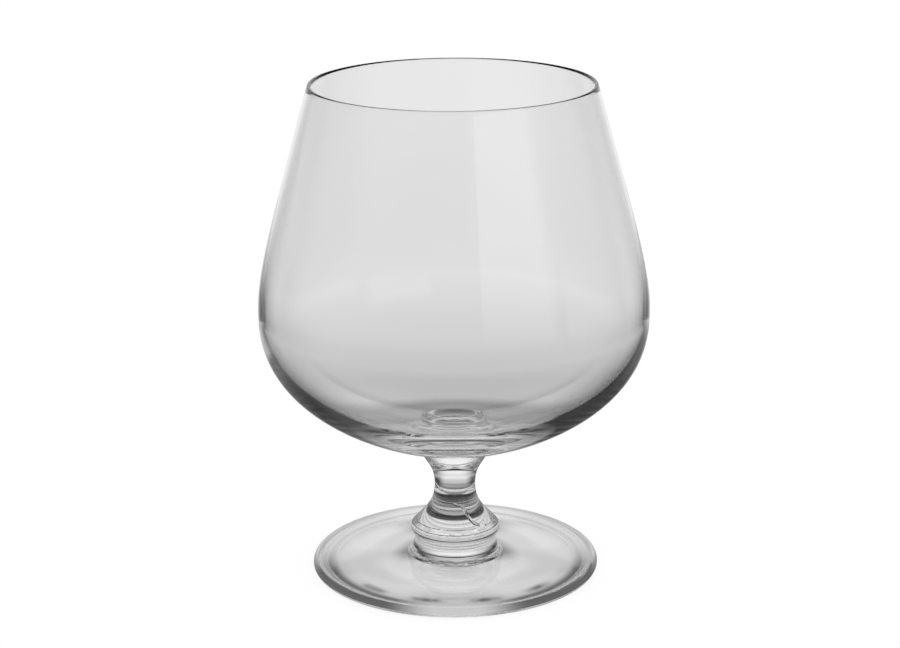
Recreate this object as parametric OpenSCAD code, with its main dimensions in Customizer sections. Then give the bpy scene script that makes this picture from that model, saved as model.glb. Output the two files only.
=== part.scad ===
// Brandy snifter of clear blown glass. A wide bowl that closes in to its lip is joined
// hot to a short waisted stem, and the stem's beaded collar to a low button on a round foot.
// Each piece is turned from one profile: x is the distance from the axis and y the height.
// The origin is the middle of the resting plane, and the axis of the glass is upright.

/* [Bowl] */
// Height of the bowl from the stem to the top of the lip
bowl_h = 104.2; // [90:0.1:120]
// Outer diameter at the lip
rim_d = 79.4; // [66:0.1:88]
// Outer diameter at the belly
belly_d = 109.2; // [96:0.1:124]
// Height of the belly above the stem
belly_h = 39; // [33:0.1:45]
// Length of the straight wall below the lip
wall_l = 32; // [20:0.5:38]
// Lean of that wall from upright, in degrees
wall_lean = 15.5; // [8:0.5:19]
// Thickness of the wall at the lip
rim_t = 1.1; // [0.8:0.1:2]
// Thickness of the wall at the belly
belly_t = 1.5; // [1:0.1:2.5]
// Thickness of the floor on the axis
floor_t = 4.7; // [3.5:0.1:6.5]
// Diameter of the seat under the bowl that the stem joins
seat_d = 20.6; // [17:0.1:24]
// Rise of the underside where it leaves the seat, in degrees
under_rise = 19; // [14:1:24]

/* [Stem] */
// Height of the stem from the collar to the bowl
stem_h = 23.1; // [20:0.1:30]
// Height of the waist above the collar
waist_h = 11.6; // [9:0.1:14]
// Diameter of the waist
waist_d = 11.6; // [9:0.1:14]
// Lean of the skirt from upright where it meets the collar, in degrees
skirt_lean = 42; // [30:1:50]
// Lean of the flare from upright where it meets the bowl, in degrees
flare_lean = 15; // [5:1:25]

/* [Collar] */
// Height of the collar
collar_h = 2.9; // [2.4:0.1:4]
// Diameter of the collar's bead
bead_d = 25.6; // [22:0.1:28]
// Height of the bead's widest line above the button
bead_h = 1.3; // [0.9:0.1:1.7]
// How far the bead stands out past the stem's skirt
bead_top = 0.7; // [0.3:0.05:1.2]
// How far the bead stands out past the button's neck
bead_low = 1.3; // [0.7:0.05:1.5]

/* [Button] */
// Height of the button between the foot and the collar
button_h = 6; // [4.6:0.1:8]
// Diameter of the button where it spreads onto the foot
button_d = 27.2; // [26:0.1:31]
// Lean of the button from upright where it meets the foot, in degrees
spread_lean = 46; // [30:1:60]

/* [Foot] */
// Diameter of the foot
foot_d = 81.7; // [70:0.1:92]
// Height of the foot's top under the button
foot_h = 3.8; // [3.3:0.1:5]
// Thickness of the foot's edge
edge_t = 2.4; // [1.8:0.1:3]
// Width of the rounding on top of the edge
edge_w = 2.2; // [1.2:0.1:3]
// Width of the flat ring that the foot rests on
ring_w = 3.5; // [2:0.1:6]
// Rise of the hollow under the foot
hollow_h = 1.6; // [0.8:0.1:2]
// Fall of the foot's top where it leaves the button, in degrees
foot_fall = 4; // [1:0.5:10]

/* [Hidden] */
$fn = 96;

// Straight steps in a swept curve and in an arc
curve_steps = 18;
arc_steps = 8;

// The pulls of each curve at its two ends, as shares of the run that it covers
under_pull_shares = [0.098, 0.746];
shoulder_pull_shares = [0.15, 0.74];
inside_pull_shares = [0.458, 0.647];
skirt_pull_shares = [0.32, 0.5];
flare_pull_shares = [0.53, 0.369];
spread_pull_shares = [0.55, 0.12];
foot_pull_shares = [0.16, 0.45];
hollow_pull_shares = [0.55, 0.12];

// Heights of the joints above the resting plane
button_z = foot_h;
collar_z = button_z + button_h;
stem_z = collar_z + collar_h;
bowl_z = stem_z + stem_h;

// Radii that two pieces share at a joint
button_r = button_d / 2;
neck_r = bead_d / 2 - bead_low;
skirt_r = bead_d / 2 - bead_top;
seat_r = seat_d / 2;

glass = [0.83, 0.84, 0.85, 0.45];

// A smooth curve from a to d, pulled towards b and c on its way
function sweep(a, b, c, d) = [
    for (i = [0 : curve_steps])
        let (t = i / curve_steps, u = 1 - t)
        u * u * u * a + 3 * u * u * t * b + 3 * u * t * t * c + t * t * t * d
];

// An arc that leaves a straight up or down and ends at b
function swing(a, b) =
    let (run = b - a, r = run * run / (2 * run.x), turn = atan2(run.y / r, 1 - run.x / r))
    [for (i = [0 : arc_steps]) let (w = turn * i / arc_steps) a + r * [1 - cos(w), sin(w)]];

// An arc about a centre
function arc(centre, r, from, to) = [
    for (i = [0 : arc_steps])
        let (w = from + (to - from) * i / arc_steps)
        centre + r * [cos(w), sin(w)]
];

function back(points) = [for (i = [len(points) - 1 : -1 : 0]) points[i]];
function tail(points) = [for (i = [1 : len(points) - 1]) points[i]];

module turned(profile) {
    color(glass) rotate_extrude() polygon(profile);
}

// Free-blown bowl: a thick floor, a wall that thins upwards and a fire-rounded lip
module bowl() {
    belly = [belly_d / 2, belly_h];
    inner_belly = belly - [belly_t, 0];
    floor_mid = [0, floor_t];
    seat = [seat_r, 0];
    across = [cos(wall_lean), sin(wall_lean)];
    down = [sin(wall_lean), -cos(wall_lean)];
    lip = [rim_d / 2 - rim_t / 2, bowl_h - rim_t / 2];
    wall_foot = lip + across * rim_t / 2 + down * wall_l;
    inner_wall_foot = wall_foot - across * rim_t;
    rise = wall_foot.y - belly_h;

    under = sweep(
        seat,
        seat + under_pull_shares[0] * (belly.x - seat_r) * [1, tan(under_rise)],
        belly - [0, under_pull_shares[1] * belly_h],
        belly
    );
    shoulder = sweep(
        belly,
        belly + [0, shoulder_pull_shares[0] * rise],
        wall_foot + shoulder_pull_shares[1] * rise * down,
        wall_foot
    );
    inner_shoulder = sweep(
        inner_wall_foot,
        inner_wall_foot + shoulder_pull_shares[1] * rise * down,
        inner_belly + [0, shoulder_pull_shares[0] * rise],
        inner_belly
    );
    inside = sweep(
        inner_belly,
        inner_belly - [0, inside_pull_shares[1] * (belly_h - floor_t)],
        floor_mid + [inside_pull_shares[0] * inner_belly.x, 0],
        floor_mid
    );
    round_lip = arc(lip, rim_t / 2, wall_lean, wall_lean + 180);

    translate([0, 0, bowl_z])
        turned(concat([[0, 0]], under, tail(shoulder), round_lip, inner_shoulder, tail(inside)));
}

// Solid stem: a skirt that narrows to the waist and spreads again under the bowl
module stem() {
    waist = [waist_d / 2, waist_h];
    hem = [skirt_r, 0];
    seat = [seat_r, stem_h];
    flare_h = stem_h - waist_h;
    skirt = sweep(
        hem,
        hem + skirt_pull_shares[0] * waist_h * [-tan(skirt_lean), 1],
        waist - [0, skirt_pull_shares[1] * waist_h],
        waist
    );
    flare = sweep(
        waist,
        waist + [0, flare_pull_shares[0] * flare_h],
        seat - flare_pull_shares[1] * flare_h * [tan(flare_lean), 1],
        seat
    );
    translate([0, 0, stem_z])
        turned(concat([[0, 0]], skirt, tail(flare), [[0, stem_h]]));
}

// Collar with a rounded bead that overhangs the button's neck
module collar() {
    bead = [bead_d / 2, bead_h];
    under_bead = swing(bead, [neck_r, 0]);
    over_bead = swing(bead, [skirt_r, collar_h]);
    translate([0, 0, collar_z])
        turned(concat([[0, 0]], back(under_bead), tail(over_bead), [[0, collar_h]]));
}

// Button: a drum under the collar that spreads onto the foot
module button() {
    neck = [neck_r, button_h];
    base = [button_r, 0];
    spread = sweep(
        base,
        base + spread_pull_shares[1] * button_h * [-tan(spread_lean), 1],
        neck - [0, spread_pull_shares[0] * button_h],
        neck
    );
    translate([0, 0, button_z])
        turned(concat([[0, 0]], spread, [[0, button_h]]));
}

// Round foot: thick in the middle, rounded at the edge and hollowed underneath
module foot() {
    foot_r = foot_d / 2;
    edge = [foot_r, edge_t / 2];
    ring_outer = foot_r - edge_t / 2;
    ring_inner = ring_outer - ring_w;
    brim = [foot_r - edge_w, edge_t];
    crown = [button_r, foot_h];
    span = brim.x - button_r;
    hollow = sweep(
        [0, hollow_h],
        [hollow_pull_shares[0] * ring_inner, hollow_h],
        [ring_inner * (1 - hollow_pull_shares[1]), hollow_h / 2],
        [ring_inner, 0]
    );
    slope = sweep(
        brim,
        brim - [foot_pull_shares[1] * span, 0],
        crown + foot_pull_shares[0] * span * [1, -tan(foot_fall)],
        crown
    );
    under_edge = back(swing(edge, [ring_outer, 0]));
    over_edge = tail(swing(edge, brim));
    turned(concat(hollow, under_edge, over_edge, tail(slope), [[0, foot_h]]));
}

foot();
button();
collar();
stem();
bowl();
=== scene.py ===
import math

import bpy
from mathutils import Matrix, Vector
from mathutils.geometry import interpolate_bezier


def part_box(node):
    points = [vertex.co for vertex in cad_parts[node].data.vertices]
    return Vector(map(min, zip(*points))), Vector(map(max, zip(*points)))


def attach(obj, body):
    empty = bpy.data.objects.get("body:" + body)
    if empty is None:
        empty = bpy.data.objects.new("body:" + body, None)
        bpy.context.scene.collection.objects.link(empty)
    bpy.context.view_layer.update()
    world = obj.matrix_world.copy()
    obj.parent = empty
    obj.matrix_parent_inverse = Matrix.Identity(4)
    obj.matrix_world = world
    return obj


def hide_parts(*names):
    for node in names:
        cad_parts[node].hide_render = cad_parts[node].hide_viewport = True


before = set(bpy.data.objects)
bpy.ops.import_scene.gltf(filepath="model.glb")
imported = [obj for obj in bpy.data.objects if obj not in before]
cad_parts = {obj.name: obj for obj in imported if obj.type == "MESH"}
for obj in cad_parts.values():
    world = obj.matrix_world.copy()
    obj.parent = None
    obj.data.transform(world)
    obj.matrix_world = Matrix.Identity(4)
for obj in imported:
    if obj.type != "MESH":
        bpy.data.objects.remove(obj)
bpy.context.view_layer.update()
mm = 0.001
body = "root"


# Shared helpers

def hexToLinear(code):
    channels = [int(code[i : i + 2], 16) / 255 for i in (1, 3, 5)]
    return [c / 12.92 if c <= 0.04045 else ((c + 0.055) / 1.055) ** 2.4 for c in channels] + [1.0]


# Adds a node, sets it up and links or fills its inputs; gives back its first output
def addNode(tree, kind, inputs=None, **settings):
    node = tree.nodes.new(kind)
    for name, value in settings.items():
        setattr(node, name, value)
    for key, value in (inputs or {}).items():
        if isinstance(value, bpy.types.NodeSocket):
            tree.links.new(value, node.inputs[key])
        else:
            node.inputs[key].default_value = value
    return node.outputs[0] if node.outputs else node


def newMaterial(name):
    material = bpy.data.materials.new(name)
    material.use_nodes = True
    material.node_tree.nodes.clear()
    return material


# Materials

# Every piece is the same clear glass; what differs is how its skin is uneven. Reams are a slow swell, a
# band is a stretch of wrinkles between two heights and two distances from the axis, rings run round the
# axis, and a fold is a crease along points (x, height) on the front, in mm
glassLook = {
    "tint": "#FFFFFF",
    "ior": 1.52,
    "bandFade": 1 / 8,  # share of a stretch over which bands and rings fade at each end
    "swayLength": 25 * mm,  # how slowly the rings stray from round
    "wander": 0.15 * mm,  # how far a fold strays from its line
    "wanderLength": 2.5 * mm,
    "foldFront": 1 * mm,  # folds have their full height from here on in front of the axis
    "foot": {
        "reamWidth": 12 * mm,
        "reamDepth": 0.004 * mm,
        "bands": [
            # scuffs where the hollow meets the resting ring
            {
                "heights": (-0.5 * mm, 0.9 * mm),
                "radii": (34 * mm, 37 * mm),
                "grain": (5 * mm, 5 * mm, 5 * mm),
                "depth": 0.05 * mm,
            },
        ],
        "rings": [
            # what the turning left on the edge
            {"radii": (37.4 * mm, 41.2 * mm), "pitch": 0.95 * mm, "sway": 0.3 * mm, "depth": 0.014 * mm},
        ],
    },
    "button": {
        "reamWidth": 4 * mm,
        "reamDepth": 0.028 * mm,
        "bands": [
            # streaks drawn out as the button was pressed down onto the foot
            {
                "heights": (3.8 * mm, 6.0 * mm),
                "radii": (11 * mm, 14 * mm),
                "grain": (3 * mm, 3 * mm, 0.8 * mm),
                "depth": 0.06 * mm,
            },
        ],
    },
    "collar": {
        "reamWidth": 4 * mm,
        "reamDepth": 0.012 * mm,
        "bands": [
            # wrinkles under the hem of the stem
            {
                "heights": (11.9 * mm, 12.8 * mm),
                "radii": (11 * mm, 13 * mm),
                "grain": (3 * mm, 3 * mm, 1.2 * mm),
                "depth": 0.05 * mm,
            },
        ],
    },
    "stem": {
        "reamWidth": 6 * mm,
        "reamDepth": 0.004 * mm,
        "bands": [
            # wrinkles of the hot joint under the bowl, and of the hem on the collar
            {
                "heights": (32.6 * mm, 36 * mm),
                "radii": (7 * mm, 11 * mm),
                "grain": (5 * mm, 5 * mm, 1.6 * mm),
                "depth": 0.06 * mm,
            },
            {
                "heights": (12.6 * mm, 13.9 * mm),
                "radii": (10 * mm, 13 * mm),
                "grain": (3 * mm, 3 * mm, 1.2 * mm),
                "depth": 0.06 * mm,
            },
        ],
        "folds": [
            # the mark left where the gather was sheared off, a short one beside it and a fold at the waist
            {
                "points": ((-0.2, 20.1), (1.9, 19.3), (3.6, 17.0), (5.1, 15.2), (6.8, 14.4)),
                "width": 0.45 * mm,
                "depth": 0.16 * mm,
            },
            {"points": ((7.9, 14.8), (8.8, 13.7)), "width": 0.35 * mm, "depth": 0.10 * mm},
            {"points": ((-5.6, 24.6), (-3.4, 23.4)), "width": 0.40 * mm, "depth": 0.10 * mm},
        ],
    },
    "bowl": {
        "reamWidth": 9 * mm,
        "reamDepth": 0.004 * mm,
    },
}


noiseGain = 4  # a noise keeps near its middle, so it is multiplied by this to reach the size asked for


# Distance from the axis of the glass
def addAway(tree, place):
    flat = addNode(tree, "ShaderNodeVectorMath", {0: place, 1: (1, 1, 0)}, operation="MULTIPLY")
    return addNode(tree, "ShaderNodeVectorMath", {0: flat}, operation="LENGTH").node.outputs["Value"]


# 1 between two limits, fading to 0 inside both ends
def addWithin(tree, value, low, high):
    fade = (high - low) * glassLook["bandFade"]
    enter = addNode(tree, "ShaderNodeMapRange", {"Value": value, "From Min": low, "From Max": low + fade})
    leave = addNode(tree, "ShaderNodeMapRange", {"Value": value, "From Min": high, "From Max": high - fade})
    return addNode(tree, "ShaderNodeMath", {0: enter, 1: leave}, operation="MULTIPLY")


# The height of a wrinkled band in metres
def addBand(tree, place, band):
    high = addNode(tree, "ShaderNodeSeparateXYZ", {0: place}).node.outputs["Z"]
    finer = [1 / size for size in band["grain"]]
    cell = addNode(tree, "ShaderNodeVectorMath", {0: place, 1: finer}, operation="MULTIPLY")
    wrinkle = addNode(tree, "ShaderNodeTexNoise", {"Vector": cell, "Scale": 1.0, "Detail": 2.0})
    inHeight = addWithin(tree, high, *band["heights"])
    inRing = addWithin(tree, addAway(tree, place), *band["radii"])
    inside = addNode(tree, "ShaderNodeMath", {0: inHeight, 1: inRing}, operation="MULTIPLY")
    deep = addNode(tree, "ShaderNodeMath", {0: inside, 1: band["depth"]}, operation="MULTIPLY")
    return addNode(tree, "ShaderNodeMath", {0: wrinkle, 1: deep}, operation="MULTIPLY")


# The height of the rings round a piece in metres
def addRings(tree, place, rings):
    away = addAway(tree, place)
    finer = 1 / glassLook["swayLength"]
    stray = addNode(tree, "ShaderNodeTexNoise", {"Vector": place, "Scale": finer, "Detail": 1.0})
    sway = addNode(tree, "ShaderNodeMath", {0: stray, 1: noiseGain * rings["sway"]}, operation="MULTIPLY")
    shifted = addNode(tree, "ShaderNodeMath", {0: away, 1: sway}, operation="ADD")
    closer = math.tau / rings["pitch"]
    turns = addNode(tree, "ShaderNodeMath", {0: shifted, 1: closer}, operation="MULTIPLY")
    wave = addNode(tree, "ShaderNodeMath", {0: turns}, operation="SINE")
    inRing = addWithin(tree, away, *rings["radii"])
    deep = addNode(tree, "ShaderNodeMath", {0: inRing, 1: rings["depth"]}, operation="MULTIPLY")
    return addNode(tree, "ShaderNodeMath", {0: wave, 1: deep}, operation="MULTIPLY")


# The height of a fold in metres: it follows its points on the front of the piece and wanders a little
def addFold(tree, place, fold):
    finer = 1 / glassLook["wanderLength"]
    widest = noiseGain * glassLook["wander"]
    stray = addNode(tree, "ShaderNodeTexNoise", {"Vector": place, "Scale": finer, "Detail": 1.0})
    level = addNode(tree, "ShaderNodeMath", {0: stray, 1: 0.5}, operation="SUBTRACT")
    wander = addNode(tree, "ShaderNodeMath", {0: level, 1: widest}, operation="MULTIPLY")
    flat = addNode(tree, "ShaderNodeVectorMath", {0: place, 1: (1, 0, 1)}, operation="MULTIPLY")
    spot = addNode(tree, "ShaderNodeVectorMath", {0: flat, 1: wander}, operation="ADD")
    nearest = None
    for (x0, z0), (x1, z1) in zip(fold["points"], fold["points"][1:]):
        start, run = Vector((x0, 0, z0)) * mm, Vector((x1 - x0, 0, z1 - z0)) * mm
        off = addNode(tree, "ShaderNodeVectorMath", {0: spot, 1: start}, operation="SUBTRACT")
        unit = run / run.dot(run)
        share = addNode(tree, "ShaderNodeVectorMath", {0: off, 1: unit}, operation="DOT_PRODUCT")
        along = addNode(tree, "ShaderNodeClamp", {"Value": share.node.outputs["Value"]})
        reached = addNode(tree, "ShaderNodeVectorMath", {0: run, "Scale": along}, operation="SCALE")
        aside = addNode(tree, "ShaderNodeVectorMath", {0: off, 1: reached}, operation="DISTANCE")
        gap = aside.node.outputs["Value"]
        if nearest is not None:
            gap = addNode(tree, "ShaderNodeMath", {0: nearest, 1: gap}, operation="MINIMUM")
        nearest = gap
    ridge = addNode(tree, "ShaderNodeMapRange", {
        "Value": nearest,
        "From Max": fold["width"],
        "To Min": fold["depth"],
        "To Max": 0.0,
    }, interpolation_type="SMOOTHSTEP")
    front = addNode(tree, "ShaderNodeSeparateXYZ", {0: place}).node.outputs["Y"]
    facing = addNode(tree, "ShaderNodeMapRange", {
        "Value": front,
        "From Min": 0.0,
        "From Max": -glassLook["foldFront"],
    })
    return addNode(tree, "ShaderNodeMath", {0: ridge, 1: facing}, operation="MULTIPLY")


# Blown soda-lime glass with a fire-polished skin: clear and glossy, with a slow unevenness that bends
# what is seen through it
def blownGlass(node):
    look = glassLook[node]
    material = newMaterial("blownGlassFirePolished" + node.capitalize())
    tree = material.node_tree
    place = addNode(tree, "ShaderNodeTexCoord").node.outputs["Object"]
    reams = addNode(tree, "ShaderNodeTexNoise", {
        "Vector": place,
        "Scale": 1 / look["reamWidth"],
        "Detail": 1.0,
        "Roughness": 0.4,
    })
    height = addNode(tree, "ShaderNodeMath", {0: reams, 1: look["reamDepth"]}, operation="MULTIPLY")
    parts = [addBand(tree, place, band) for band in look.get("bands", [])]
    parts += [addRings(tree, place, rings) for rings in look.get("rings", [])]
    parts += [addFold(tree, place, fold) for fold in look.get("folds", [])]
    for part in parts:
        height = addNode(tree, "ShaderNodeMath", {0: height, 1: part}, operation="ADD")
    skin = addNode(tree, "ShaderNodeBump", {"Strength": 1.0, "Distance": 1.0, "Height": height})
    glass = addNode(tree, "ShaderNodeBsdfPrincipled", {
        "Base Color": hexToLinear(glassLook["tint"]),
        "Roughness": 0.0,
        "IOR": glassLook["ior"],
        "Transmission Weight": 1.0,
        "Normal": skin,
    })
    addNode(tree, "ShaderNodeOutputMaterial", {"Surface": glass})
    return material


# Glass fused to glass at a hot joint: nothing is seen where the two pieces meet
def hotJoint():
    material = newMaterial("glassFusedHotJoint")
    tree = material.node_tree
    clear = addNode(tree, "ShaderNodeBsdfTransparent", {"Color": hexToLinear("#FFFFFF")})
    addNode(tree, "ShaderNodeOutputMaterial", {"Surface": clear})
    return material


joint = hotJoint()
print("joint material made")


# Turned glass: a profile drawn as points (radius, height) is spun round the axis of the glass

weld = 0.0005 * mm  # points closer than this become one, which closes the poles and the seam


def buildLathe():
    tree = bpy.data.node_groups.new("turnedGlass", "GeometryNodeTree")
    face = tree.interface
    face.new_socket("Profile", in_out="INPUT", socket_type="NodeSocketGeometry")
    face.new_socket("Segments", in_out="INPUT", socket_type="NodeSocketInt")
    face.new_socket("Glass", in_out="INPUT", socket_type="NodeSocketMaterial")
    face.new_socket("Joint", in_out="INPUT", socket_type="NodeSocketMaterial")
    face.new_socket("Geometry", in_out="OUTPUT", socket_type="NodeSocketGeometry")
    given = tree.nodes.new("NodeGroupInput").outputs

    # One grid column for each angle and one row for each point of the profile
    rows = addNode(tree, "GeometryNodeAttributeDomainSize", {0: given["Profile"]}, component="MESH")
    columns = addNode(tree, "ShaderNodeMath", {0: given["Segments"], 1: 1.0}, operation="ADD")
    grid = addNode(tree, "GeometryNodeMeshGrid", {
        "Size X": 1.0,
        "Size Y": 1.0,
        "Vertices X": columns,
        "Vertices Y": rows,
    })
    index = addNode(tree, "GeometryNodeInputIndex")
    row = addNode(tree, "ShaderNodeMath", {0: index, 1: rows}, operation="MODULO")
    share = addNode(tree, "ShaderNodeMath", {0: index, 1: rows}, operation="DIVIDE")
    column = addNode(tree, "ShaderNodeMath", {0: share}, operation="FLOOR")
    turn = addNode(tree, "ShaderNodeMath", {0: column, 1: given["Segments"]}, operation="DIVIDE")
    angle = addNode(tree, "ShaderNodeMath", {0: turn, 1: math.tau}, operation="MULTIPLY")
    spot = addNode(tree, "GeometryNodeInputPosition")
    point = addNode(tree, "GeometryNodeSampleIndex", {
        "Geometry": given["Profile"],
        "Value": spot,
        "Index": row,
    }, data_type="FLOAT_VECTOR", domain="POINT")
    placed = addNode(tree, "ShaderNodeVectorRotate", {
        "Vector": point,
        "Axis": (0, 0, 1),
        "Angle": angle,
    }, rotation_type="AXIS_ANGLE")

    # The profile's own attribute says which faces lie on a joint
    lastRow = addNode(tree, "ShaderNodeMath", {0: rows, 1: 1.0}, operation="SUBTRACT")
    faceRow = addNode(tree, "ShaderNodeMath", {0: index, 1: lastRow}, operation="MODULO")
    jointOfPoint = addNode(tree, "GeometryNodeInputNamedAttribute", {"Name": "joint"}, data_type="FLOAT")
    jointOfFace = addNode(tree, "GeometryNodeSampleIndex", {
        "Geometry": given["Profile"],
        "Value": jointOfPoint,
        "Index": faceRow,
    }, data_type="FLOAT", domain="POINT")
    spun = addNode(tree, "GeometryNodeStoreNamedAttribute", {
        "Geometry": grid,
        "Name": "joint",
        "Value": jointOfFace,
    }, data_type="FLOAT", domain="FACE")
    spun = addNode(tree, "GeometryNodeSetPosition", {"Geometry": spun, "Position": placed})
    spun = addNode(tree, "GeometryNodeMergeByDistance", {"Geometry": spun, "Distance": weld})

    ownJoint = addNode(tree, "GeometryNodeInputNamedAttribute", {"Name": "joint"}, data_type="FLOAT")
    spun = addNode(tree, "GeometryNodeSetMaterial", {"Geometry": spun, "Material": given["Glass"]})
    spun = addNode(tree, "GeometryNodeSetMaterial", {
        "Geometry": spun,
        "Selection": ownJoint,
        "Material": given["Joint"],
    })
    isGlass = addNode(tree, "FunctionNodeCompare", {0: ownJoint, 1: 0.5}, operation="LESS_THAN")
    spun = addNode(tree, "GeometryNodeSetShadeSmooth", {"Geometry": spun, "Shade Smooth": isGlass})
    whole = addNode(tree, "GeometryNodeRealizeInstances", {"Geometry": spun})
    addNode(tree, "NodeGroupOutput", {"Geometry": whole})
    return tree


lathe = buildLathe()


# stretches is a list of (points, is it a joint), end to end from axis to axis
def turnPiece(name, stretches, segments, glass):
    points, joints = [], []
    for stretch, isJoint in stretches:
        fresh = stretch if not points else stretch[1:]
        if joints:
            joints[-1] = float(isJoint)
        points += fresh
        joints += [float(isJoint)] * len(fresh)
    mesh = bpy.data.meshes.new(name)
    mesh.from_pydata([(p.x, 0, p.y) for p in points], [(i, i + 1) for i in range(len(points) - 1)], [])
    mesh.attributes.new("joint", "FLOAT", "POINT").data.foreach_set("value", joints)
    piece = bpy.data.objects.new(name, mesh)
    bpy.context.collection.objects.link(piece)
    spin = piece.modifiers.new("spin", "NODES")
    spin.node_group = lathe
    wanted = {"Segments": segments, "Glass": glass, "Joint": joint}
    for item in lathe.interface.items_tree:
        if item.in_out == "INPUT" and item.name in wanted:
            spin[item.identifier] = wanted[item.name]
    turned = piece.evaluated_get(bpy.context.evaluated_depsgraph_get())
    piece.data = bpy.data.meshes.new_from_object(turned)
    piece.data.name = name
    piece.modifiers.clear()
    return piece


def sweep(a, b, c, d, steps):
    return interpolate_bezier(a, b, c, d, steps + 1)


def line(a, b, steps=1):
    return [a.lerp(b, i / steps) for i in range(steps + 1)]


def arc(centre, radius, start, end, steps):
    angles = [math.radians(start + (end - start) * i / steps) for i in range(steps + 1)]
    return [centre + radius * Vector((math.cos(w), math.sin(w))) for w in angles]


# An arc that leaves a straight up or down and ends at b
def swing(a, b, steps):
    run = b - a
    radius = run.dot(run) / (2 * run.x)
    turn = math.degrees(math.atan2(run.y / radius, 1 - run.x / radius))
    return arc(a + Vector((radius, 0)), radius, 180, 180 - turn, steps)


# What the frame says of each node: its lowest and highest height and its largest radius
def reach(node):
    low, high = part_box(node)
    return low[2], high[2], high[0]


# Bowl: a thick floor, a wall that thins upwards, a fire-rounded lip

bowlSizes = {
    "rimRadius": 39.7 * mm,
    "bellyRise": 39 * mm,
    "wallLength": 32 * mm,
    "wallLean": 15.5,
    "rimThick": 1.1 * mm,
    "bellyThick": 1.5 * mm,
    "floorThick": 4.7 * mm,
    "seatRadius": 10.3 * mm,
    "underRise": 19,
    "underPull": (0.098, 0.746),
    "shoulderPull": (0.15, 0.74),
    "insidePull": (0.458, 0.647),
    "underSteps": 72,
    "shoulderSteps": 44,
    "wallSteps": 20,
    "lipSteps": 14,
    "insideSteps": 96,
    "segments": 288,
}


def bowlProfile():
    size = bowlSizes
    low, top, widest = reach("bowl")
    belly = Vector((widest, low + size["bellyRise"]))
    innerBelly = belly - Vector((size["bellyThick"], 0))
    seat = Vector((size["seatRadius"], low))
    lean = math.radians(size["wallLean"])
    across = Vector((math.cos(lean), math.sin(lean)))
    down = Vector((math.sin(lean), -math.cos(lean)))
    lipRadius = size["rimThick"] / 2
    lip = Vector((size["rimRadius"] - lipRadius, top - lipRadius))
    wallTop = lip + across * lipRadius
    wallFoot = wallTop + down * size["wallLength"]
    innerFoot = wallFoot - across * size["rimThick"]
    innerTop = wallTop - across * size["rimThick"]
    rise = wallFoot.y - belly.y
    upward = Vector((0, size["shoulderPull"][0] * rise))
    tangent = size["shoulderPull"][1] * rise * down
    floorMid = Vector((0, low + size["floorThick"]))
    outward = size["underPull"][0] * (belly.x - seat.x)
    climb = math.tan(math.radians(size["underRise"]))

    underside = sweep(
        seat,
        seat + outward * Vector((1, climb)),
        belly - Vector((0, size["underPull"][1] * size["bellyRise"])),
        belly,
        size["underSteps"],
    )
    shoulder = sweep(belly, belly + upward, wallFoot + tangent, wallFoot, size["shoulderSteps"])
    roundLip = arc(lip, lipRadius, size["wallLean"], size["wallLean"] + 180, size["lipSteps"])
    innerShoulder = sweep(
        innerFoot,
        innerFoot + tangent,
        innerBelly + upward,
        innerBelly,
        size["shoulderSteps"],
    )
    inside = sweep(
        innerBelly,
        innerBelly - Vector((0, size["insidePull"][1] * (belly.y - floorMid.y))),
        floorMid + Vector((size["insidePull"][0] * innerBelly.x, 0)),
        floorMid,
        size["insideSteps"],
    )
    return [
        (line(Vector((0, low)), seat), True),
        (underside, False),
        (shoulder, False),
        (line(wallFoot, wallTop, size["wallSteps"]), False),
        (roundLip, False),
        (line(innerTop, innerFoot, size["wallSteps"]), False),
        (innerShoulder, False),
        (inside, False),
    ]


# Stem: solid, drawn in to a waist between the bowl and a wide skirt

stemSizes = {
    "waistRise": 11.6 * mm,
    "waistRadius": 5.8 * mm,
    "skirtLean": 42,
    "skirtPull": (0.32, 0.5),
    "flareLean": 15,
    "flarePull": (0.53, 0.369),
    "curveSteps": 120,
    "segments": 256,
}


def stemProfile():
    size = stemSizes
    low, top, skirtRadius = reach("stem")
    waist = Vector((size["waistRadius"], low + size["waistRise"]))
    hem = Vector((skirtRadius, low))
    lean = math.tan(math.radians(size["skirtLean"]))
    skirt = sweep(
        hem,
        hem + size["skirtPull"][0] * size["waistRise"] * Vector((-lean, 1)),
        waist - Vector((0, size["skirtPull"][1] * size["waistRise"])),
        waist,
        size["curveSteps"],
    )
    seat = Vector((bowlSizes["seatRadius"], top))
    rise = seat.y - waist.y
    flare = sweep(
        waist,
        waist + Vector((0, size["flarePull"][0] * rise)),
        seat - size["flarePull"][1] * rise * Vector((math.tan(math.radians(size["flareLean"])), 1)),
        seat,
        size["curveSteps"],
    )
    return [
        (line(Vector((0, low)), hem), True),
        (skirt, False),
        (flare, False),
        (line(seat, Vector((0, top))), True),
    ]


# Collar: a rounded bead that overhangs the button

collarSizes = {
    "beadRise": 1.3 * mm,
    "beadTop": 0.7 * mm,
    "beadLow": 1.3 * mm,
    "beadSteps": 24,
    "segments": 320,
}


def collarProfile():
    size = collarSizes
    low, top, widest = reach("collar")
    bead = Vector((widest, low + size["beadRise"]))
    neck = Vector((widest - size["beadLow"], low))
    hem = Vector((widest - size["beadTop"], top))
    return [
        (line(Vector((0, low)), neck), True),
        (list(reversed(swing(bead, neck, size["beadSteps"]))), False),
        (swing(bead, hem, size["beadSteps"]), False),
        (line(hem, Vector((0, top))), True),
    ]


# Button: a drum that spreads onto the foot

buttonSizes = {
    "neckRadius": 11.5 * mm,
    "spreadLean": 46,
    "spreadPull": (0.55, 0.12),
    "curveSteps": 80,
    "segments": 320,
}


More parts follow.
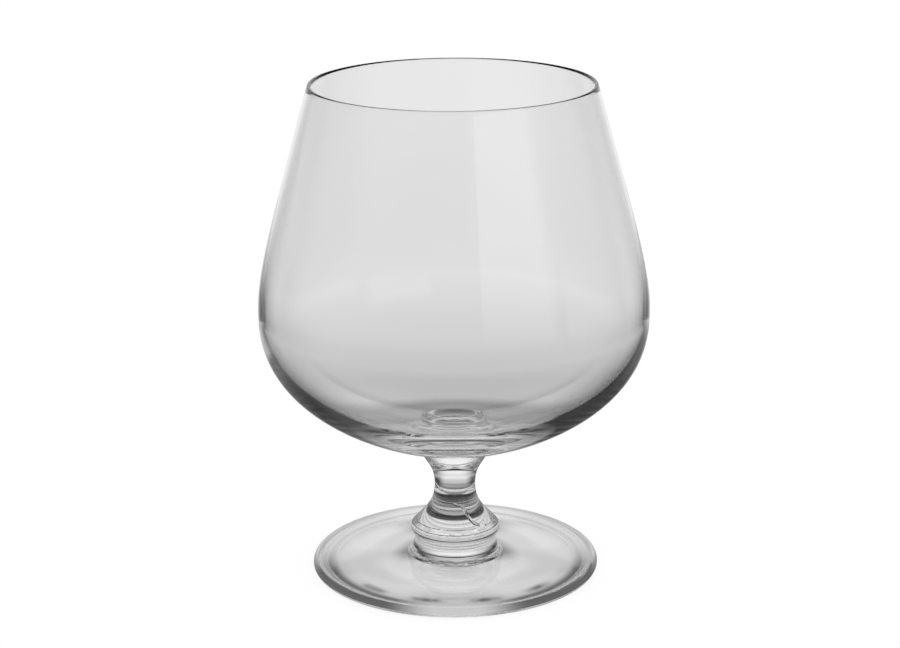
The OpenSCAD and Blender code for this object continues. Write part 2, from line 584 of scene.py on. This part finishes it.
def buttonProfile():
    size = buttonSizes
    low, top, widest = reach("button")
    rise = top - low
    neck = Vector((size["neckRadius"], top))
    base = Vector((widest, low))
    spread = sweep(
        base,
        base + size["spreadPull"][1] * rise * Vector((-math.tan(math.radians(size["spreadLean"])), 1)),
        neck - Vector((0, size["spreadPull"][0] * rise)),
        neck,
        size["curveSteps"],
    )
    return [
        (line(Vector((0, low)), base), True),
        (spread, False),
        (line(neck, Vector((0, top))), True),
    ]


# Foot: thick in the middle, a rounded edge, a hollow underneath

footSizes = {
    "crownRadius": 13.6 * mm,
    "edgeThick": 2.4 * mm,
    "edgeWidth": 2.2 * mm,
    "ringWidth": 3.5 * mm,
    "hollowRise": 1.6 * mm,
    "fall": 4,
    "slopePull": (0.16, 0.45),
    "hollowPull": (0.55, 0.12),
    "hollowSteps": 80,
    "ringSteps": 12,
    "underEdgeSteps": 14,
    "overEdgeSteps": 18,
    "slopeSteps": 72,
    "segments": 360,
}


def footProfile():
    size = footSizes
    low, top, widest = reach("foot")
    edge = Vector((widest, low + size["edgeThick"] / 2))
    ringOuter = Vector((widest - size["edgeThick"] / 2, low))
    ringInner = Vector((ringOuter.x - size["ringWidth"], low))
    brim = Vector((widest - size["edgeWidth"], low + size["edgeThick"]))
    crown = Vector((size["crownRadius"], top))
    span = brim.x - crown.x
    centre = Vector((0, low + size["hollowRise"]))
    hollow = sweep(
        centre,
        centre + Vector((size["hollowPull"][0] * ringInner.x, 0)),
        Vector((ringInner.x * (1 - size["hollowPull"][1]), low + size["hollowRise"] / 2)),
        ringInner,
        size["hollowSteps"],
    )
    slope = sweep(
        brim,
        brim - Vector((size["slopePull"][1] * span, 0)),
        crown + size["slopePull"][0] * span * Vector((1, -math.tan(math.radians(size["fall"])))),
        crown,
        size["slopeSteps"],
    )
    return [
        (hollow, False),
        (line(ringInner, ringOuter, size["ringSteps"]), False),
        (list(reversed(swing(edge, ringOuter, size["underEdgeSteps"]))), False),
        (swing(edge, brim, size["overEdgeSteps"]), False),
        (slope, False),
        (line(crown, Vector((0, top))), True),
    ]


profiles = {
    "foot": (footProfile, footSizes),
    "button": (buttonProfile, buttonSizes),
    "collar": (collarProfile, collarSizes),
    "stem": (stemProfile, stemSizes),
    "bowl": (bowlProfile, bowlSizes),
}
for node, (profile, sizes) in profiles.items():
    piece = turnPiece(node + "Glass", profile(), sizes["segments"], blownGlass(node))
    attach(piece, body)
    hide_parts(node)
    print(node, "turned:", len(piece.data.polygons), "faces")


# White sweep and studio light: white paper for the lens, while the glass shows it bright behind and dim
# beside, in front and close round the foot, which is what draws its edges dark

studio = {
    "floorSide": 6.0,
    "white": "#FFFFFF",
    "shadowReach": 14 * mm,
    "shadowDepth": 0.10,
    "shadowSamples": 12,
    # brightness of the paper by distance from the axis in mm, with painted shade: the glass's own shadow
    # painted dark under the stem and the resting ring, and dimmer studio further out; behind, then beside
    # and half in front on each side, and in front
    "floorBehind": (
        (8, 0.03), (12, 0.08), (14, 0.10), (17, 0.50), (21, 0.27), (26, 0.14), (31, 0.22), (35, 0.68),
        (40, 0.72), (43, 0.50), (46, 0.15), (54, 0.24), (63, 0.36), (76, 0.29), (90, 0.56), (125, 0.57),
        (185, 0.71), (260, 0.81), (600, 0.86),
    ),
    "floorLeft": (
        ((8, 0.02), (11, 0.08), (15, 0.28), (19, 0.68), (33, 0.64), (43, 0.50), (52, 0.15), (76, 0.03),
         (100, 0.12), (300, 0.15), (700, 0.30)),
        ((4, 0.10), (8, 0.68), (22, 0.76), (30, 0.74), (33.5, 0.62), (35.5, 0.12), (42, 0.14), (47, 0.34),
         (60, 0.33), (80, 0.50), (130, 0.38), (250, 0.35), (700, 0.60)),
    ),
    "floorRight": (
        ((8, 0.02), (11, 0.08), (15, 0.28), (19, 0.68), (33, 0.64), (43, 0.50), (50, 0.03), (120, 0.03),
         (230, 0.14), (350, 0.30), (700, 0.40)),
        ((4, 0.10), (8, 0.68), (22, 0.76), (30, 0.74), (33.5, 0.62), (35.5, 0.12), (42, 0.14), (47, 0.12),
         (55, 0.05), (90, 0.22), (130, 0.25), (250, 0.35), (700, 0.60)),
    ),
    "floorFront": (
        (4, 0.10), (8, 0.68), (22, 0.76), (31, 0.50), (36, 0.60), (42, 0.62), (47, 0.10), (60, 0.10),
        (90, 0.25), (250, 0.35), (700, 0.60),
    ),
    "floorTurns": ((18, 44), (75, 108), (148, 172)),  # bearings over which one gives way to the next
    "rampReach": 1000.0,  # distance in mm at the end of these ramps
    # dim patches on the paper in front, between those where the foot gathers the light
    "patchRadius": 32.3 * mm,
    "patchWide": 2.6 * mm,
    "patchCount": 12,
    "patchWave": (0.8, -1.0),  # part of the wave round the foot over which a patch darkens
    "patchGrain": 3 * mm,
    "patchFront": (-8 * mm, -22 * mm),  # the patches come in between these places in front of the axis
    "patchDepth": 1.1,
    # brightness of the room by the sine of the elevation: behind, then beside and in front
    "roomBehind": (
        (0.0, 0.82), (0.12, 0.75), (0.20, 0.92), (0.35, 0.95), (0.39, 0.20), (0.42, 0.03), (0.46, 0.05),
        (0.50, 0.50), (0.60, 0.60), (0.68, 0.35), (0.80, 0.10),
    ),
    "roomSides": (
        ((0.0, 0.36), (0.10, 0.28), (0.20, 0.10), (0.30, 0.04), (1.0, 0.02)),
        ((0.0, 0.45), (0.10, 0.25), (0.25, 0.14), (0.50, 0.12), (1.0, 0.04)),
    ),
    "roomTurns": ((8, 52), (85, 125)),
    "sideBlend": 0.3,  # sine of the bearing at which the left side has given way to the right
    # a panel that stands at the front right and draws the bright band down the bowl
    "panelAway": 500 * mm,
    "panelTurn": 40,  # bearing from the camera's side, in degrees
    "panelWide": 460 * mm,
    "panelHigh": 340 * mm,
    "panelLight": 0.65,
    "panelFade": (0.45, 1.0, 0.2),  # shares of its half width where it fades outwards, and what is left
    "bounces": 64,
}


# A ramp of greys through (place, brightness) pairs, places from 0 to 1
def addRamp(tree, fac, shades):
    ramp = addNode(tree, "ShaderNodeValToRGB", {"Fac": fac})
    stops = ramp.node.color_ramp.elements
    while len(stops) < len(shades):
        stops.new(0.5)
    for stop, (place, shade) in zip(stops, shades):
        stop.position = place
        stop.color = (shade, shade, shade, 1)
    return ramp


# The angle round the axis from straight behind the glass, positive on the right
def addBearing(tree, place):
    axes = addNode(tree, "ShaderNodeSeparateXYZ", {0: place}).node.outputs
    return addNode(tree, "ShaderNodeMath", {0: axes["X"], 1: axes["Y"]}, operation="ARCTAN2")


# The brightness found towards a place: the ramp behind the glass gives way to those beside it and in front,
# on the left and on the right
def addShade(tree, place, fac, behind, left, right, turns):
    bearing = addBearing(tree, place)
    aside = addNode(tree, "ShaderNodeMath", {0: bearing}, operation="ABSOLUTE")
    turned = [addNode(tree, "ShaderNodeMapRange", {
        "Value": aside,
        "From Min": math.radians(start),
        "From Max": math.radians(end),
    }, interpolation_type="SMOOTHSTEP") for start, end in turns]
    halves = []
    for ramps in (left, right):
        shade = addRamp(tree, fac, behind)
        for ramp, factor in zip(ramps, turned):
            after = addRamp(tree, fac, ramp)
            shade = addNode(tree, "ShaderNodeMix", {"Factor": factor, "A": shade, "B": after})
        halves.append(shade)
    side = addNode(tree, "ShaderNodeMath", {0: bearing}, operation="SINE")
    rightness = addNode(tree, "ShaderNodeMapRange", {
        "Value": side,
        "From Min": -studio["sideBlend"],
        "From Max": studio["sideBlend"],
    }, interpolation_type="SMOOTHSTEP")
    return addNode(tree, "ShaderNodeMix", {"Factor": rightness, "A": halves[0], "B": halves[1]})


# White as the lens sees it; the rays that glass bends or mirrors find it shaded
def addPaper(tree, kind, white, shade):
    path = addNode(tree, "ShaderNodeLightPath").node.outputs
    bent = addNode(tree, "ShaderNodeMath", {
        0: path["Is Glossy Ray"],
        1: path["Is Transmission Ray"],
    }, operation="MAXIMUM")
    strength = addNode(tree, "ShaderNodeMix", {"Factor": bent, "A": white, "B": shade})
    return addNode(tree, kind, {"Color": hexToLinear(studio["white"]), "Strength": strength})


# The share of its brightness that the paper keeps, with dim patches in front of the foot
def addPatches(tree, place, away):
    bearing = addBearing(tree, place)
    count = float(studio["patchCount"])
    turns = addNode(tree, "ShaderNodeMath", {0: bearing, 1: count}, operation="MULTIPLY")
    wave = addNode(tree, "ShaderNodeMath", {0: turns}, operation="COSINE")
    start, end = studio["patchWave"]
    dim = addNode(tree, "ShaderNodeMapRange", {
        "Value": wave,
        "From Min": start,
        "From Max": end,
        "To Max": studio["patchDepth"],
    }, interpolation_type="SMOOTHSTEP")
    finer = 1 / studio["patchGrain"]
    cell = addNode(tree, "ShaderNodeTexNoise", {"Vector": place, "Scale": finer, "Detail": 2.0})
    broken = addNode(tree, "ShaderNodeMath", {0: dim, 1: cell}, operation="MULTIPLY")
    off = addNode(tree, "ShaderNodeMath", {0: away, 1: studio["patchRadius"]}, operation="SUBTRACT")
    aside = addNode(tree, "ShaderNodeMath", {0: off}, operation="ABSOLUTE")
    ring = addNode(tree, "ShaderNodeMapRange", {
        "Value": aside,
        "From Min": studio["patchWide"],
        "From Max": 0.0,
    }, interpolation_type="SMOOTHSTEP")
    ahead = addNode(tree, "ShaderNodeSeparateXYZ", {0: place}).node.outputs["Y"]
    start, end = studio["patchFront"]
    front = addNode(tree, "ShaderNodeMapRange", {"Value": ahead, "From Min": start, "From Max": end})
    inside = addNode(tree, "ShaderNodeMath", {0: front, 1: ring}, operation="MULTIPLY")
    patch = addNode(tree, "ShaderNodeMath", {0: inside, 1: broken}, operation="MULTIPLY", use_clamp=True)
    return addNode(tree, "ShaderNodeMath", {0: 1.0, 1: patch}, operation="SUBTRACT")


def addStage(name, points, material):
    mesh = bpy.data.meshes.new(name)
    mesh.from_pydata(points, [], [(0, 1, 2, 3)])
    mesh.materials.append(material)
    thing = bpy.data.objects.new(name, mesh)
    bpy.context.collection.objects.link(thing)
    return thing


# White paper, with painted shade by distance and bearing that stands in for the glass's shadow, and a faint
# shadow where the foot touches it
def sweepFloor():
    material = newMaterial("whiteSweepPaper")
    tree = material.node_tree
    place = addNode(tree, "ShaderNodeNewGeometry").node.outputs["Position"]
    away = addNode(tree, "ShaderNodeVectorMath", {0: place}, operation="LENGTH").node.outputs["Value"]
    far = addNode(tree, "ShaderNodeMath", {0: away, 1: 1 / mm}, operation="MULTIPLY")
    power = addNode(tree, "ShaderNodeMath", {0: far, 1: studio["rampReach"]}, operation="LOGARITHM")

    def spread(ramp):
        return [(math.log(distance, studio["rampReach"]), shade) for distance, shade in ramp]

    behind, front = spread(studio["floorBehind"]), spread(studio["floorFront"])
    left, right = ([*map(spread, studio[side]), front] for side in ("floorLeft", "floorRight"))
    shade = addShade(tree, place, power, behind, left, right, studio["floorTurns"])
    kept = addPatches(tree, place, away)
    shade = addNode(tree, "ShaderNodeMath", {0: shade, 1: kept}, operation="MULTIPLY")
    openness = addNode(tree, "ShaderNodeAmbientOcclusion", {
        "Distance": studio["shadowReach"],
    }, samples=studio["shadowSamples"])
    white = addNode(tree, "ShaderNodeMapRange", {"Value": openness, "To Min": 1 - studio["shadowDepth"]})
    paper = addPaper(tree, "ShaderNodeEmission", white, shade)
    addNode(tree, "ShaderNodeOutputMaterial", {"Surface": paper})
    half = studio["floorSide"] / 2
    corners = [(-half, -half, 0), (half, -half, 0), (half, half, 0), (-half, half, 0)]
    addStage("sweepFloor", corners, material)


# Matte white panel lit from its own back, fading towards its outer end
def sidePanel():
    turn = math.radians(studio["panelTurn"])
    middle = studio["panelAway"] * Vector((math.sin(turn), -math.cos(turn), 0))
    half = studio["panelWide"] / 2 * Vector((math.cos(turn), math.sin(turn), 0))
    material = newMaterial("whitePanelBacklit")
    tree = material.node_tree
    place = addNode(tree, "ShaderNodeNewGeometry").node.outputs["Position"]
    off = addNode(tree, "ShaderNodeVectorMath", {0: place, 1: middle}, operation="SUBTRACT")
    unit = half / half.dot(half)
    aside = addNode(tree, "ShaderNodeVectorMath", {0: off, 1: unit}, operation="DOT_PRODUCT")
    start, end, left = studio["panelFade"]
    light = addNode(tree, "ShaderNodeMapRange", {
        "Value": aside.node.outputs["Value"],
        "From Min": start,
        "From Max": end,
        "To Min": studio["panelLight"],
        "To Max": studio["panelLight"] * left,
    }, interpolation_type="SMOOTHSTEP")
    glow = addNode(tree, "ShaderNodeEmission", {"Color": hexToLinear(studio["white"]), "Strength": light})
    addNode(tree, "ShaderNodeOutputMaterial", {"Surface": glow})
    high = Vector((0, 0, studio["panelHigh"]))
    corners = [middle + half, middle - half, middle - half + high, middle + half + high]
    addStage("sidePanel", corners, material).visible_camera = False


def studioWorld():
    world = bpy.data.worlds.new("studio")
    world.use_nodes = True
    tree = world.node_tree
    tree.nodes.clear()
    look = addNode(tree, "ShaderNodeTexCoord").node.outputs["Generated"]
    height = addNode(tree, "ShaderNodeSeparateXYZ", {0: look}).node.outputs["Z"]
    sides = studio["roomSides"]
    shade = addShade(tree, look, height, studio["roomBehind"], sides, sides, studio["roomTurns"])
    addNode(tree, "ShaderNodeOutputWorld", {"Surface": addPaper(tree, "ShaderNodeBackground", 1.0, shade)})
    bpy.context.scene.world = world


sweepFloor()
sidePanel()
studioWorld()
bpy.context.scene.view_settings.view_transform = "Standard"

# Light is followed through more faces of glass than by default, or the thick floor of the bowl turns black
cycles = bpy.context.scene.cycles
cycles.max_bounces = studio["bounces"]
cycles.glossy_bounces = studio["bounces"]
cycles.transmission_bounces = studio["bounces"]
cycles.transparent_max_bounces = studio["bounces"]
print("studio set")


# Camera, where the photographer's stood

cameraSizes = {
    "lens": 92.0,
    "sensor": 36.0,
    "distance": 617.79 * mm,
    "height": 255.746 * mm,
    "aside": -1.13 * mm,
    "down": 16.6,
    "roll": -0.366,
    "nearest": 0.01,
    "farthest": 50,
}

lens = bpy.data.cameras.new("camera")
lens.lens = cameraSizes["lens"]
lens.sensor_width = cameraSizes["sensor"]
lens.clip_start = cameraSizes["nearest"]
lens.clip_end = cameraSizes["farthest"]
camera = bpy.data.objects.new("camera", lens)
stand = Matrix.Translation((cameraSizes["aside"], -cameraSizes["distance"], cameraSizes["height"]))
tilt = Matrix.Rotation(math.radians(90 - cameraSizes["down"]), 4, "X")
camera.matrix_world = stand @ tilt @ Matrix.Rotation(math.radians(cameraSizes["roll"]), 4, "Z")
bpy.context.collection.objects.link(camera)
bpy.context.scene.camera = camera
